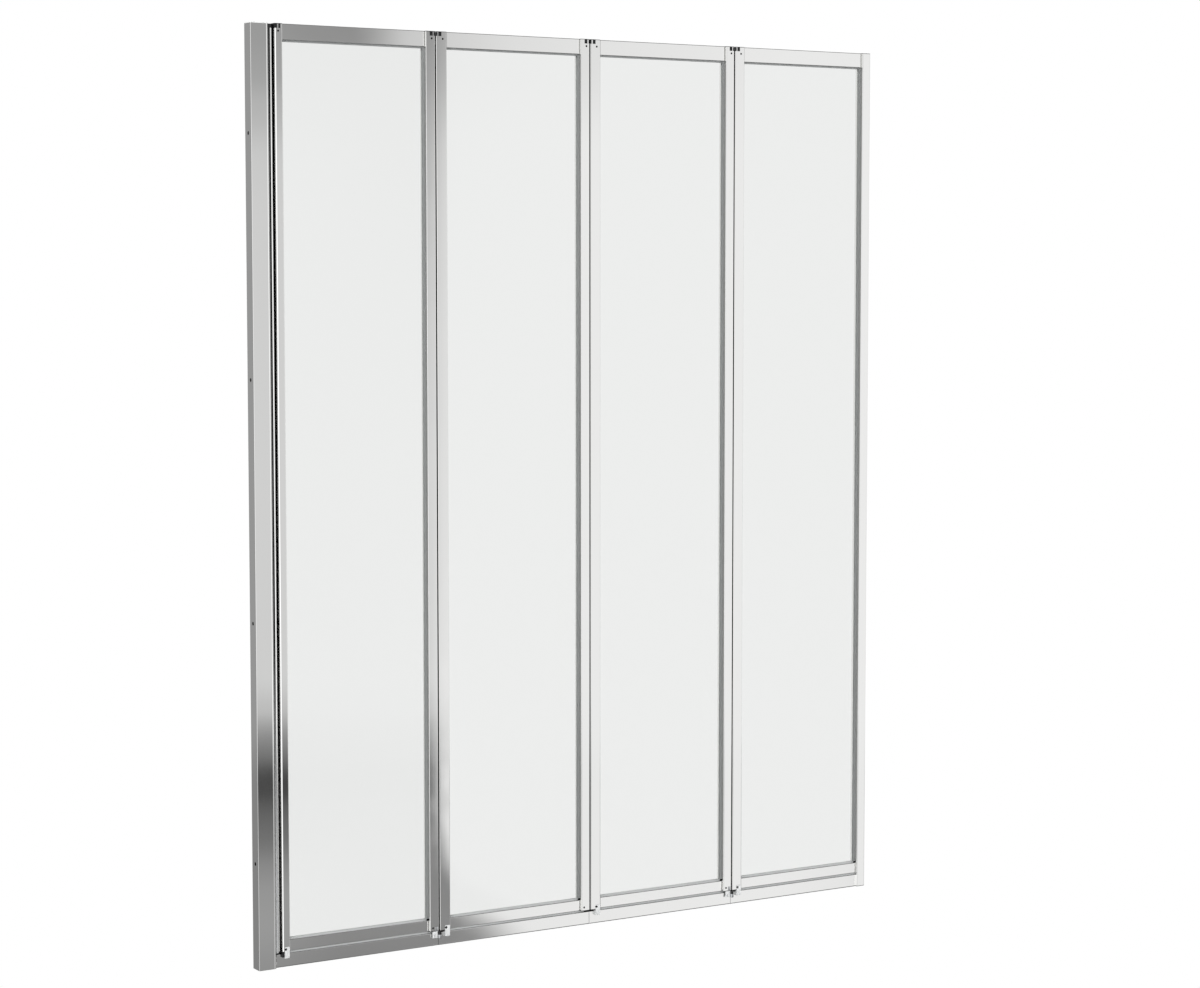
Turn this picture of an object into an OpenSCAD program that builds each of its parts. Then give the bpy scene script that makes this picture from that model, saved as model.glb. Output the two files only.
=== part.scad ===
// Folding bath screen: framed glass panels hinged edge to edge from a wall profile.
// The origin lies on the wall face, at mid-depth, level with the underside of the seals.
// +X runs out from the wall along the bath's rim, -Y faces the room and +Z is up.
// The hinges fold by turns to the front and to the back, so the panels stack like a concertina.

/* [Screen] */
// Width from the wall to the free edge, with every panel in line
screen_w = 1120; // [960:10:1400]
// Height from the bath's rim to the top
screen_h = 1400; // [1000:10:1600]
// Number of glass panels
panels = 4; // [2:1:4]
// Depth of the uprights, front to back
profile_d = 22; // [22:0.5:28]
// Wall thickness of the hollow profiles
wall_t = 1.5; // [1.2:0.1:1.8]
// Rounding of the uprights' long edges
stile_r = 1; // [0.75:0.25:2.5]

/* [Wall profile] */
// How far the wall profile reaches out from the wall
wall_profile_w = 29; // [28:1:34]
// Thickness of the wall profile's web and flanges
channel_wall_t = 1.8; // [1.5:0.1:2.4]
// Rounding of the wall profile's edges beside the expander
wall_profile_r = 4; // [2:0.25:4]
// Rounding of the wall profile's edges at the wall
wall_edge_r = 0.5; // [0.3:0.1:1.5]
// Thickness of the cap on the wall profile
wall_cap_t = 1; // [0.8:0.1:2]
// Number of holes for the wall screws
fixing_count = 4; // [2:1:5]
// Distance from the profile's ends to the nearest wall screw
fixing_end = 160; // [60:10:300]
// Radius of the holes for the wall screws
fixing_r = 2.75; // [2:0.25:3.5]

/* [Expander] */
// Width of the expander profile, hidden part included
expander_w = 32; // [31.5:0.5:34]
// How much of the expander shows beside the wall profile
expander_show = 8.5; // [7:0.5:9]
// Rounding of the expander's long edges
expander_r = 7; // [4:0.5:7.5]
// Width of the beads on the expander's faces beside the wall profile
bead_w = 2.2; // [1:0.1:2.4]
// Height of these beads
bead_t = 0.9; // [0.5:0.1:1.2]
// How far the expander slides out to meet an uneven wall
slide_travel = 12; // [8:1:12]
// Clearance between the expander and the wall profile's flanges
slide_fit = 0.2; // [0.1:0.05:0.4]
// Number of adjusting screws that lock the expander
lock_count = 3; // [2:1:5]
// Radius of the adjusting screws
lock_screw_r = 2; // [1.5:0.25:2]

/* [Panels] */
// Gap between the expander and the first panel
wall_gap = 1; // [0.8:0.1:2]
// Gap between two panels
hinge_gap = 2; // [1.6:0.1:2.4]
// Width of the first panel's left stile
first_stile_w = 12; // [12:0.5:18]
// Rounding of the first panel's left stile beside the expander
first_stile_r = 3.25; // [2:0.25:3.25]
// Distance from the first stile's outer edge to the axis of the wall hinge
pin_inset = 4; // [3.8:0.1:4.5]
// Width of the other panels' left stiles
left_stile_w = 18; // [17:0.5:22]
// Width of the right stiles
right_stile_w = 15.5; // [15:0.5:20]
// Height of the top rail
top_rail_h = 23.5; // [20:0.5:30]
// Height of the bottom rail
bottom_rail_h = 17.3; // [16.5:0.1:24]
// How far the rails lie behind the stiles' faces
rail_setback = 4; // [3:0.25:4.5]
// Rounding of the rails' long edges
rail_r = 1; // [0.5:0.25:2]
// Rounding of the rails' faces towards the stiles
rail_end_r = 2.5; // [1:0.25:3]

/* [Glazing] */
// Thickness of the glass
glass_t = 4; // [3:0.5:5]
// How far the glass reaches into the profiles
glass_bite = 6; // [4:0.5:7]
// Thickness of the gasket on each side of the glass
gasket_t = 1.25; // [1:0.05:1.4]
// How far the gasket stands out over the glass
gasket_lip = 2.3; // [1.5:0.1:4]

/* [Drip rail] */
// Height of the drip rail under the panels
drip_rail_h = 19.7; // [14:0.1:22]
// Gap between the drip rail and the frame above it
groove_h = 3; // [3:0.1:6]
// Thickness of the seal's foot under the drip rail
seal_foot_t = 0.8; // [0.6:0.1:2.5]
// Width of the seal's foot
seal_foot_w = 10; // [7:0.5:12]
// Thickness of the neck that joins the drip rail to the bottom rail
neck_t = 3; // [2:0.25:4]
// Gap between the drip rails of two panels
drip_gap = 0.6; // [0.4:0.1:1.2]
// Thickness of the clip's tabs on the stile's faces
clip_proud = 0.8; // [0.5:0.1:1]
// Width of the clip
clip_w = 8.4; // [6:0.2:8.4]
// Height of the clip
clip_h = 17; // [16:0.5:19]
// How far the clip laps over the drip rail
clip_lap = 6.5; // [5:0.5:8]

/* [Hinges] */
// Radius of the hinge pins
pin_r = 1.5; // [1.25:0.05:1.6]
// Wall of the eyes round the pins
eye_wall = 1.1; // [0.9:0.05:1.15]
// Running clearance between a pin and the eye that turns on it
pin_fit = 0.05; // [0.02:0.01:0.08]
// Gap between two panels that are folded together
fold_gap = 1.5; // [1.4:0.1:2]
// Height of the hinge notch at the top of the stiles
notch_h = 7; // [6.5:0.25:9]
// Width of the hinge notch
notch_w = 9; // [8.75:0.25:10]
// Thickness of the arms of the wall hinge
arm_t = 2.6; // [2:0.1:2.6]
// How far the lower hinge eyes hang below the frame
lower_eye_drop = 10.5; // [9:0.25:12]

/* [Caps and screws] */
// Thickness of the end caps' lids
lid_t = 0.8; // [0.5:0.1:1]
// Depth of the end caps' plugs in the profiles
plug_h = 12; // [11:0.5:20]
// Clearance between a plug and its profile
plug_fit = 0.15; // [0.05:0.05:0.3]
// Radius of the frame screws
frame_screw_r = 1.9; // [1.5:0.1:2]
// Length of the frame screws in the rails
frame_screw_bite = 14; // [8:1:30]
// Radius of the set screws that lock the end caps
set_screw_r = 1.5; // [1:0.1:1.6]
// Radius of the clip screws
clip_screw_r = 1.4; // [0.8:0.05:1.5]

/* [Hidden] */
$fn = 48;
hair = 0.02;                     // what a cut reaches past a face
screw_fit = 0.1;                 // clearance round a screw's shank
pocket_fit = 0.05;               // clearance round a leaf in its cap
neck_fit = 0.1;                  // clearance of the drip rail's neck in the bottom rail
part_gap = 0.2;                  // gap between parts that turn past each other
half_d = profile_d / 2;
channel_w = glass_t + 2 * gasket_t;
seat_t = 1;                      // gasket under the edge of the glass
seal_w = 6;                      // width of the seals in the gaps
channel_d = glass_bite + seat_t;

// heights
seal_bottom = 0;
drip_z = seal_bottom + seal_foot_t;
drip_top = drip_z + drip_rail_h;
frame_z = drip_top + groove_h;
sight_z = frame_z + bottom_rail_h;
sight_top = screen_h - top_rail_h;
notch_z = screen_h - notch_h;
lid_z = screen_h - lid_t;

// places along X
expander_x = wall_profile_w + expander_show - expander_w;
expander_end = wall_profile_w + expander_show;
first_x = expander_end + wall_gap;
glass_w = (screen_w - first_x - first_stile_w - panels * right_stile_w
    - (panels - 1) * (left_stile_w + hinge_gap)) / panels;

function left_w(k) = k == 1 ? first_stile_w : left_stile_w;
function panel_w(k) = left_w(k) + glass_w + right_stile_w;
function panel_x(k) = k == 1 ? first_x : panel_x(k - 1) + panel_w(k - 1) + hinge_gap;
function panel_end(k) = panel_x(k) + panel_w(k);
function sight_x(k) = panel_x(k) + left_w(k);
function hinge_x(k) = panel_end(k) + hinge_gap / 2;
function fold_side(k) = k % 2 == 1 ? -1 : 1;

// hinges
eye_r = pin_r + eye_wall;
clip_inset = 1;                  // from the clip to the stile's inner edge
web_gap = 0.4;                   // from the clip's web to the rails over and under it
flange_end = 11.7;               // from the hinge's axis to the end of a hanging leaf's flange
flange_slot_x = 7.4;             // slot in the flange, from the hinge's axis
flange_slot_w = 1.4;
flange_lap_t = 0.6;              // how far the flange stands out over the stile's face
flange_lap_h = 7;                // and how far it reaches up there
pin_y = half_d + fold_gap / 2;
block_setback = eye_r - fold_gap / 2 + part_gap;
block_d = profile_d - 2 * block_setback;
wall_pin_x = first_x + pin_inset;
wall_pin_y = (half_d + channel_w / 2) / 2;   // midway in the stile's chamber
rib_w = 2;
rib_x = eye_r + part_gap;        // from the hinge's axis to the stile's ribs
first_rib_x = 4;                 // the first left stile's rib, from its outer edge
leaf_w = hinge_gap / 2 + left_stile_w - clip_inset - clip_w - 2 * part_gap;
leaf_back = 4;                   // how far a leaf reaches behind mid-depth
spigot_r = 1.25;
spigot_h = 8;
spigot_x = hinge_gap / 2 + 4;
spigot_y = half_d / 2 - 0.3;
lower_eye_z = frame_z - lower_eye_drop;
lower_top = frame_z - part_gap;
pin_head_t = 0.8;
upper_low = notch_z + 2 * part_gap;
upper_top = lid_z - part_gap - pin_head_t;   // the pin's head stays under the lids
upper_eye_h = (upper_top - upper_low - part_gap) / 2;
lower_eye_h = (lower_top - lower_eye_z - part_gap) / 2;
pin_head_r = eye_r - 0.4;

expander_z = frame_z - part_gap;
arm_top = screen_h - wall_cap_t - part_gap;

// rails and screws
rail_d = profile_d - 2 * rail_setback;
expander_d = profile_d - 2 * (channel_wall_t + slide_fit);
port_r = 3.5;
port_web = 2;                    // web between a screw port and the channel's floor
screw_head_r = 3;
screw_head_t = 2;
access_r = screw_head_r + 0.3;
access_margin = 0.7;             // metal left beside the frame screws' access holes
lock_head_r = 3.6;
lock_x = wall_profile_w - wall_profile_r - lock_head_r;
lock_head_t = 2;
set_screw_depth = 4;
clip_z = drip_top - clip_lap;
clip_screw_depth = 4.5;
foot_h = 7.8;                    // foot under the first panel's left stile
foot_x = -0.6;
first_tab_x = 3;                 // front tab of the first panel's clip
clip_screw_inset = 1.7;          // from a tab's edge to its screw
seal_head_t = 1.2;               // head of the drip rail's seal, inside the rail
seal_head_lap = 1.5;
end_gap = 8;                     // from the frame screws to the strips in the hinge gaps
foot_set_screw_x = 10.4;         // from a right stile's outer edge, at its foot
right_set_screw_x = 5.6;         // from a right stile's outer edge, at its top
left_set_screw_x = 11.2;         // from a left stile's outer edge
first_set_screw_x = 5.5;         // from the first left stile's outer edge
screw_slot_w = 0.8;

bottom_port = wall_t + port_r + 0.5;
top_port = notch_h + access_margin + access_r;
screw_heights = [frame_z + bottom_port, screen_h - top_port];
function clip_x(k) = k == 1
    ? pin_inset + eye_r + 2 * part_gap
    : left_w(k) - clip_inset - clip_w;
function tab_x(k, side) = k == 1 && side < 0 ? first_tab_x : clip_x(k);
function drip_x(k) = k == 1 ? wall_profile_w + 1 : hinge_x(k - 1) + drip_gap / 2;
function drip_end(k) = k == panels ? panel_end(k) - right_stile_w : hinge_x(k) - drip_gap / 2;

panel_pieces = ["left_stile", "right_stile", "top_rail", "bottom_rail", "glass",
    "glazing_gasket", "end_caps", "screws", "drip_rail", "seals", "drip_clip"];
hinge_pieces = ["left_leaves", "right_leaves", "pins"];

chrome = "#d4d8da";
steel = "#b9bdbf";
black_steel = "#2c2e30";
nylon = "#3a3d3f";
rubber = "#26282a";
vinyl = "#a9adae";
pane = "#e6eded";

// ---- profiles, drawn across their length ----

// A rectangle from x = 0 to w, centred on y = 0, with round corners
module round_rect(w, d, r) {
    translate([r, -d / 2]) square([w - 2 * r, d]);
    translate([0, r - d / 2]) square([w, d - 2 * r]);
    for (x = [r, w - r], y = [r - d / 2, d / 2 - r])
        translate([x, y]) circle(r);
}

// The same with the corners at x = 0 rounded by near_r and those at w by far_r
module soft_rect(w, d, near_r, far_r) {
    translate([near_r, -d / 2]) square([w - near_r - far_r, d]);
    translate([0, near_r - d / 2]) square([w / 2, d - 2 * near_r]);
    translate([w / 2, far_r - d / 2]) square([w / 2, d - 2 * far_r]);
    for (side = [-1, 1]) {
        translate([near_r, side * (d / 2 - near_r)]) circle(near_r);
        translate([w - far_r, side * (d / 2 - far_r)]) circle(far_r);
    }
}

// The outline of a stile from its outer edge
module stile_outline(k, right) {
    outer_r = k == 1 && !right ? first_stile_r : stile_r;
    soft_rect(stile_w(k, right), profile_d, outer_r, stile_r);
}

// The chamber of a stile, drawn in by fit; it goes round the glazing channel
module chamber(w, fit) {
    back = w - channel_d - wall_t - fit;
    difference() {
        translate([wall_t + fit, fit + wall_t - half_d])
            square([w - 2 * (wall_t + fit), profile_d - 2 * (wall_t + fit)]);
        translate([back, -channel_w / 2 - wall_t - fit])
            square([w, channel_w + 2 * (wall_t + fit)]);
    }
}

module glazing_channel(w, fit) {
    translate([w - channel_d + fit, fit - channel_w / 2])
        square([channel_d - fit + (fit == 0 ? hair : 0), channel_w - 2 * fit]);
}

module stile_section(k, right) {
    w = stile_w(k, right);
    difference() {
        stile_outline(k, right);
        chamber(w, 0);
        glazing_channel(w, 0);
    }
}

// A rail across its length: x is its depth, y runs from its outer edge to the glass
module rail_section(h, port) {
    difference() {
        rotate(90) round_rect(h, rail_d, rail_r);
        translate([-channel_w / 2, h - channel_d]) square([channel_w, channel_d + hair]);
        difference() {
            translate([wall_t - rail_d / 2, wall_t])
                square([rail_d - 2 * wall_t, h - channel_d - 2 * wall_t]);
            translate([0, port]) circle(port_r);
            translate([-port_web / 2, port]) square([port_web, h - port]);
        }
        translate([0, port]) circle(frame_screw_r + screw_fit / 2);
    }
}

module drip_section() {
    difference() {
        rotate(90) round_rect(drip_rail_h, rail_d, rail_r);
        translate([wall_t - rail_d / 2, wall_t])
            square([rail_d - 2 * wall_t, drip_rail_h - 2 * wall_t]);
        translate([-neck_t / 2, -hair]) square([neck_t, wall_t + 2 * hair]);
    }
}

module seal_section() {
    head_w = neck_t + 2 * seal_head_lap;
    translate([-seal_foot_w / 2, 0]) square([seal_foot_w, seal_foot_t]);
    translate([-neck_t / 2, 0]) square([neck_t, seal_foot_t + wall_t + seal_head_t]);
    translate([-head_w / 2, seal_foot_t + wall_t]) square([head_w, seal_head_t]);
}

// A strip with a round back that closes a gap
module gap_bead(width, gap) {
    rise = gap - 2 * part_gap;
    bead_r = (width * width / 4 + rise * rise) / (2 * rise);
    intersection() {
        translate([rise - bead_r, 0]) circle(bead_r);
        translate([0, -width / 2]) square([rise, width]);
    }
}

// Lays a section drawn across Y and Z along X
module along_x(length) {
    rotate([90, 0, 90]) linear_extrude(length) children();
}

// Puts a shape drawn from a stile's outer edge at the left or right side of a panel
module at_stile(k, right) {
    translate([right ? panel_end(k) : panel_x(k), 0, 0])
        mirror([right ? 1 : 0, 0, 0])
            children();
}

function has_notch(k, right) = !(right && k == panels);
function stile_w(k, right) = right ? right_stile_w : left_w(k);
function stile_z(k, right) = has_notch(k, right) ? frame_z : drip_z;

// ---- wall side ----

module wall_outline() {
    soft_rect(wall_profile_w, profile_d, wall_edge_r, wall_profile_r);
}

module wall_profile() {
    length = screen_h - wall_cap_t;
    inside = expander_d + 2 * slide_fit;
    fixing_pitch = (screen_h - 2 * fixing_end) / (fixing_count - 1);
    color(chrome)
    difference() {
        linear_extrude(length) difference() {
            wall_outline();
            translate([channel_wall_t, -inside / 2]) square([wall_profile_w, inside]);
        }
        for (i = [0 : fixing_count - 1])
            translate([-hair, 0, fixing_end + i * fixing_pitch])
                rotate([0, 90, 0]) cylinder(r = fixing_r, h = channel_wall_t + 2 * hair);
        at_locks()
            translate([0, 0, -channel_wall_t - hair])
                cylinder(r = lock_screw_r + screw_fit, h = channel_wall_t + 2 * hair);
    }
}

module wall_profile_cap() {
    plug_x = channel_wall_t + plug_fit;
    plug_w = expander_x - plug_x - plug_fit;
    plug_d = expander_d + 2 * slide_fit - 2 * plug_fit;
    color(vinyl) {
        translate([0, 0, screen_h - wall_cap_t])
            linear_extrude(wall_cap_t) wall_outline();
        translate([plug_x, -plug_d / 2, screen_h - wall_cap_t - plug_h])
            cube([plug_w, plug_d, plug_h + hair]);
    }
}

// Places a screw, with its axis along Z, on the wall profile's back face
module at_locks() {
    low = screen_h / 10;
    pitch = (screen_h - 2 * low) / (lock_count - 1);
    for (i = [0 : lock_count - 1])
        translate([lock_x, half_d, low + i * pitch]) rotate([-90, 0, 0]) children();
}

module adjusting_screws() {
    reach = channel_wall_t + slide_fit + wall_t + 2;
    color(steel) at_locks() {
        translate([0, 0, -reach]) cylinder(r = lock_screw_r, h = reach + hair);
        difference() {
            cylinder(r = lock_head_r, h = lock_head_t);
            for (turn = [0, 90])
                rotate(turn) translate([-lock_screw_r, -screw_slot_w / 2, lock_head_t / 2])
                    cube([2 * lock_screw_r, screw_slot_w, lock_head_t]);
        }
    }
}

module expander_profile() {
    slot_r = lock_screw_r + 2 * screw_fit;
    color(chrome)
    difference() {
        translate([expander_x, 0, expander_z])
            linear_extrude(notch_z - expander_z) difference() {
                round_rect(expander_w, expander_d, expander_r);
                translate([wall_t, wall_t - expander_d / 2])
                    square([expander_w - 2 * wall_t, expander_d - 2 * wall_t]);
            }
        at_locks()
            translate([0, 0, -channel_wall_t - slide_fit - wall_t - 1]) linear_extrude(wall_t + 2) {
                for (x = [-slide_travel, 0]) translate([x, 0]) circle(slot_r);
                translate([-slide_travel, -slot_r]) square([slide_travel, 2 * slot_r]);
            }
    }
}

// One hinge block: a lid of height h from z = 0 up, and its plug below
module expander_hinge_block(h) {
    inner_w = expander_w - 2 * (wall_t + plug_fit);
    inner_d = expander_d - 2 * (wall_t + plug_fit);
    difference() {
        union() {
            translate([expander_x, 0, 0])
                linear_extrude(h) round_rect(expander_w, expander_d, expander_r);
            translate([expander_x + wall_t + plug_fit, -inner_d / 2, -plug_h])
                cube([inner_w, inner_d, plug_h + hair]);
            translate([expander_end - expander_r / 2, wall_pin_y - eye_r, h - arm_t])
                cube([wall_pin_x - expander_end + expander_r / 2, 2 * eye_r, arm_t]);
            translate([wall_pin_x, wall_pin_y, h - arm_t]) cylinder(r = eye_r, h = arm_t);
        }
        translate([wall_pin_x, wall_pin_y, -hair]) cylinder(r = pin_r, h = h + 2 * hair);
    }
}

module expander_hinge_blocks() {
    color(nylon) {
        translate([0, 0, notch_z]) expander_hinge_block(arm_top - notch_z);
        translate([0, 0, expander_z]) mirror([0, 0, 1]) expander_hinge_block(arm_t);
    }
}

module wall_hinge_pins() {
    reach = arm_t + spigot_h;
    color(steel)
    for (z = [arm_top - reach, expander_z - arm_t])
        translate([wall_pin_x, wall_pin_y, z]) cylinder(r = pin_r, h = reach);
}

// The strip beside the first panel, and the beads that close the joint with the wall profile
module wall_gap_seal() {
    color(rubber) translate([0, 0, expander_z]) linear_extrude(notch_z - expander_z) {
        translate([expander_end, 0])
            gap_bead(expander_d - 2 * expander_r - 2 * part_gap, wall_gap);
        difference() {
            for (side = [-1, 1])
                translate([wall_profile_w + part_gap, side * expander_d / 2 - bead_t])
                    square([bead_w, 2 * bead_t]);
            translate([expander_x, 0]) round_rect(expander_w, expander_d, expander_r);
        }
    }
}

// ---- one panel ----

// The way of a frame screw through a stile and its caps, from the stile's outer edge
module frame_screw_way(k, right) {
    w = stile_w(k, right);
    for (z = screw_heights) translate([0, 0, z]) rotate([0, 90, 0]) {
        translate([0, 0, -hair]) cylinder(r = access_r, h = w - channel_d - wall_t + hair);
        cylinder(r = frame_screw_r + screw_fit, h = w + hair);
    }
}

// The set screws of a stile: place across it and height
function set_screw_places(k, right) = right
    ? [[foot_set_screw_x, screw_heights[0]], [right_set_screw_x, screw_heights[1]]]
    : [[k == 1 ? first_set_screw_x : left_set_screw_x, screw_heights[1]]];

// The set screws from the stile's face inwards, grown by fit
module set_screws(k, right, fit) {
    over = fit > 0 ? hair : 0;
    for (place = set_screw_places(k, right))
        translate([place[0], -half_d - over, place[1]])
            rotate([-90, 0, 0]) cylinder(r = set_screw_r + fit, h = set_screw_depth + 2 * over);
}

module clip_screw_pair(k, fit, reach) {
    for (side = [-1, 1])
        translate([tab_x(k, side) + clip_screw_inset, 0, frame_z + clip_h / 4])
            rotate([-90 * side, 0, 0]) translate([0, 0, half_d - clip_screw_depth])
                cylinder(r = clip_screw_r + fit, h = clip_screw_depth + reach);
}

// The space of a hinge notch, from a stile's outer edge; slim ribs of the stile stay in it
module hinge_notch(k, right) {
    first = k == 1 && !right;
    x = first ? first_rib_x : rib_x - hinge_gap / 2;
    difference() {
        translate([-hair, -half_d - hair, notch_z])
            cube([notch_w + hair, profile_d + 2 * hair, notch_h]);
        for (side = first ? [-1] : [-1, 1])
            translate([x, side * (half_d - wall_t / 2) - wall_t / 2, notch_z - hair])
                cube([rib_w, wall_t, notch_h + 2 * hair]);
    }
}

module stile(k, right) {
    low = stile_z(k, right) + lid_t;
    color(chrome)
    at_stile(k, right) difference() {
        translate([0, 0, low]) linear_extrude(lid_z - low) stile_section(k, right);
        frame_screw_way(k, right);
        if (has_notch(k, right)) {
            hinge_notch(k, right);
            set_screws(k, right, screw_fit);
        }
        if (!right) clip_screw_pair(k, screw_fit, hair);
    }
}

// The space that the wall hinge's arm sweeps through in the first panel's top cap
module arm_sweep() {
    reach = wall_pin_x - first_x + eye_r + part_gap;
    low = arm_top - arm_t - part_gap;
    translate([-hair, wall_pin_y - eye_r - part_gap, low])
        cube([reach + hair, profile_d, lid_z - low]);
}

module top_cap(k, right) {
    w = stile_w(k, right);
    notched = has_notch(k, right);
    low = (notched ? notch_z : lid_z) - plug_h;
    gasket_top = sight_top + channel_d;
    difference() {
        union() {
            translate([0, 0, lid_z]) linear_extrude(lid_t) stile_outline(k, right);
            translate([0, 0, low]) linear_extrude(lid_z - low + hair) chamber(w, plug_fit);
            translate([0, 0, gasket_top])
                linear_extrude(lid_z - gasket_top + hair) glazing_channel(w, plug_fit);
            if (notched)
                translate([0, -block_d / 2, notch_z])
                    cube([notch_w - plug_fit, block_d, notch_h - lid_t + hair]);
        }
        frame_screw_way(k, right);
        if (notched) set_screws(k, right, screw_fit / 2);
        if (k == 1 && !right) {
            arm_sweep();
            translate([wall_pin_x - first_x, wall_pin_y, arm_top - arm_t - spigot_h - part_gap])
                cylinder(r = pin_r + pin_fit, h = spigot_h + 2 * part_gap);
        }
    }
}

module bottom_cap(k, right) {
    w = stile_w(k, right);
    low = stile_z(k, right);
    gasket_z = sight_z - channel_d;
    first = k == 1 && !right;
    difference() {
        union() {
            translate([0, 0, low]) linear_extrude(lid_t) stile_outline(k, right);
            translate([0, 0, low + lid_t - hair])
                linear_extrude(plug_h + hair) chamber(w, plug_fit);
            translate([0, 0, low + lid_t - hair])
                linear_extrude(gasket_z - low - lid_t + hair) glazing_channel(w, plug_fit);
            if (first)
                translate([foot_x, -half_d + part_gap, low - foot_h])
                    cube([first_tab_x - foot_x - 2 * part_gap,
                        half_d - rail_d / 2 - 2 * part_gap, foot_h + hair]);
        }
        frame_screw_way(k, right);
        if (right && has_notch(k, right)) set_screws(k, right, screw_fit / 2);
        if (!right) clip_screw_pair(k, screw_fit / 2, hair);
        if (first)
            translate([wall_pin_x - first_x, wall_pin_y, low - hair])
                cylinder(r = pin_r + pin_fit, h = spigot_h + part_gap);
    }
}

// The pockets in the caps for the leaves of hinge h on one side
module leaf_pockets(h, right_panel) {
    at_hinge(h, right_panel) {
        leaf_plate(right_panel ? upper_low : upper_top - upper_eye_h, upper_eye_h, -1, pocket_fit);
        leaf_plate(frame_z - arm_t, arm_t, 1, pocket_fit);
    }
}

module end_caps(k) {
    color(nylon)
    difference() {
        for (right = [false, true]) at_stile(k, right) {
            top_cap(k, right);
            bottom_cap(k, right);
        }
        if (k > 1) leaf_pockets(k - 1, true);
        if (k < panels) leaf_pockets(k, false);
    }
}

// What rounds a rail's upright edges, drawn for the one at x = 0 and the front
module rail_end_cut(h) {
    translate([0, -rail_d / 2, -hair]) linear_extrude(h + 2 * hair) difference() {
        translate([-hair, -hair]) square(rail_end_r + hair);
        translate([rail_end_r, rail_end_r]) circle(rail_end_r);
    }
}

module rail(k, bottom) {
    h = bottom ? bottom_rail_h : top_rail_h;
    port = bottom ? bottom_port : top_port;
    color(chrome)
    difference() {
        translate([sight_x(k), 0, bottom ? frame_z : screen_h])
            mirror([0, 0, bottom ? 0 : 1]) along_x(glass_w) rail_section(h, port);
        translate([sight_x(k) + glass_w / 2, 0, bottom ? frame_z : sight_top])
            for (turn = [0, 1], side = [0, 1]) mirror([turn, 0, 0]) mirror([0, side, 0])
                translate([-glass_w / 2, 0, 0]) rail_end_cut(h);
        if (bottom)
            translate([sight_x(k) - hair, -neck_t / 2 - plug_fit, frame_z - hair])
                cube([glass_w + 2 * hair, neck_t + 2 * plug_fit, wall_t + hair]);
    }
}

module glass(k) {
    color(pane, 0.4)
    translate([sight_x(k) - glass_bite, -glass_t / 2, sight_z - glass_bite])
        cube([glass_w + 2 * glass_bite, glass_t, sight_top - sight_z + 2 * glass_bite]);
}

module glazing_gasket(k) {
    window = glass_w - 2 * gasket_lip;
    height = sight_top - sight_z;
    color(vinyl)
    difference() {
        translate([sight_x(k) - channel_d, -channel_w / 2, sight_z - channel_d])
            cube([glass_w + 2 * channel_d, channel_w, height + 2 * channel_d]);
        translate([sight_x(k) - glass_bite, -glass_t / 2, sight_z - glass_bite])
            cube([glass_w + 2 * glass_bite, glass_t, height + 2 * glass_bite]);
        translate([sight_x(k) + gasket_lip, -channel_w, sight_z + gasket_lip])
            cube([window, 2 * channel_w, height - 2 * gasket_lip]);
    }
}

module set_screw_sockets(k, right, depth) {
    for (place = set_screw_places(k, right))
        translate([place[0], -half_d, place[1]])
            rotate([-90, 0, 0]) cylinder(r = set_screw_r / 2, h = depth, $fn = 6);
}

module screws(k) {
    recess = 1;
    color(black_steel) for (right = [false, true]) at_stile(k, right) {
        w = stile_w(k, right);
        for (z = screw_heights) translate([w - channel_d - wall_t, 0, z]) rotate([0, 90, 0]) {
            translate([0, 0, -screw_head_t]) difference() {
                cylinder(r = screw_head_r, h = screw_head_t);
                translate([0, 0, -hair]) cylinder(r = 1.4, h = recess, $fn = 6);
            }
            translate([0, 0, -hair])
                cylinder(r = frame_screw_r, h = channel_d + wall_t + frame_screw_bite);
        }
        if (has_notch(k, right)) difference() {
            set_screws(k, right, 0);
            translate([0, -hair, 0]) set_screw_sockets(k, right, recess);
        }
        if (!right) clip_screw_pair(k, 0, clip_proud / 2);
    }
}

module drip_rail(k) {
    length = drip_end(k) - drip_x(k);
    neck_h = groove_h + wall_t - neck_fit;
    color(chrome) {
        translate([drip_x(k), 0, drip_z]) along_x(length) drip_section();
        translate([sight_x(k), -neck_t / 2, drip_top - hair])
            cube([glass_w, neck_t, neck_h + hair]);
    }
}

module seals(k) {
    low = screw_heights[0] + end_gap;
    color(rubber) {
        translate([drip_x(k), 0, seal_bottom])
            along_x(drip_end(k) - drip_x(k)) seal_section();
        if (k < panels)
            translate([panel_end(k), 0, low])
                linear_extrude(screw_heights[1] - end_gap - low) gap_bead(seal_w, hinge_gap);
    }
}

module drip_clip(k) {
    web_t = groove_h - 2 * web_gap;
    color(chrome)
    translate([panel_x(k), 0, 0]) difference() {
        union() for (side = [-1, 1]) {
            x = tab_x(k, side);
            w = left_w(k) - clip_inset - x;
            translate([x, 0, 0]) mirror([0, side < 0 ? 1 : 0, 0]) {
                translate([0, half_d, clip_z]) cube([w, clip_proud, clip_h]);
                translate([0, rail_d / 2, clip_z])
                    cube([w, half_d - rail_d / 2 + hair, drip_top + web_gap - clip_z + hair]);
                translate([0, -hair, drip_top + web_gap])
                    cube([w, half_d + 2 * hair, web_t]);
            }
        }
        clip_screw_pair(k, screw_fit / 2, clip_proud + hair);
    }
}

// ---- hinges between panels ----
// A leaf is drawn for the right panel of a hinge that folds to the front (-Y).

// The plate of a leaf from z up, with a spigot on its side dir, all grown by fit
module leaf_plate(z, h, dir, fit) {
    front = half_d - block_setback + fit;
    translate([part_gap - fit, -front, z - fit])
        cube([leaf_w - part_gap + 2 * fit, front + leaf_back + fit, h + 2 * fit]);
    translate([spigot_x, -spigot_y, dir > 0 ? z + h : z - spigot_h - fit])
        cylinder(r = spigot_r + fit, h = spigot_h + fit);
}

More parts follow.
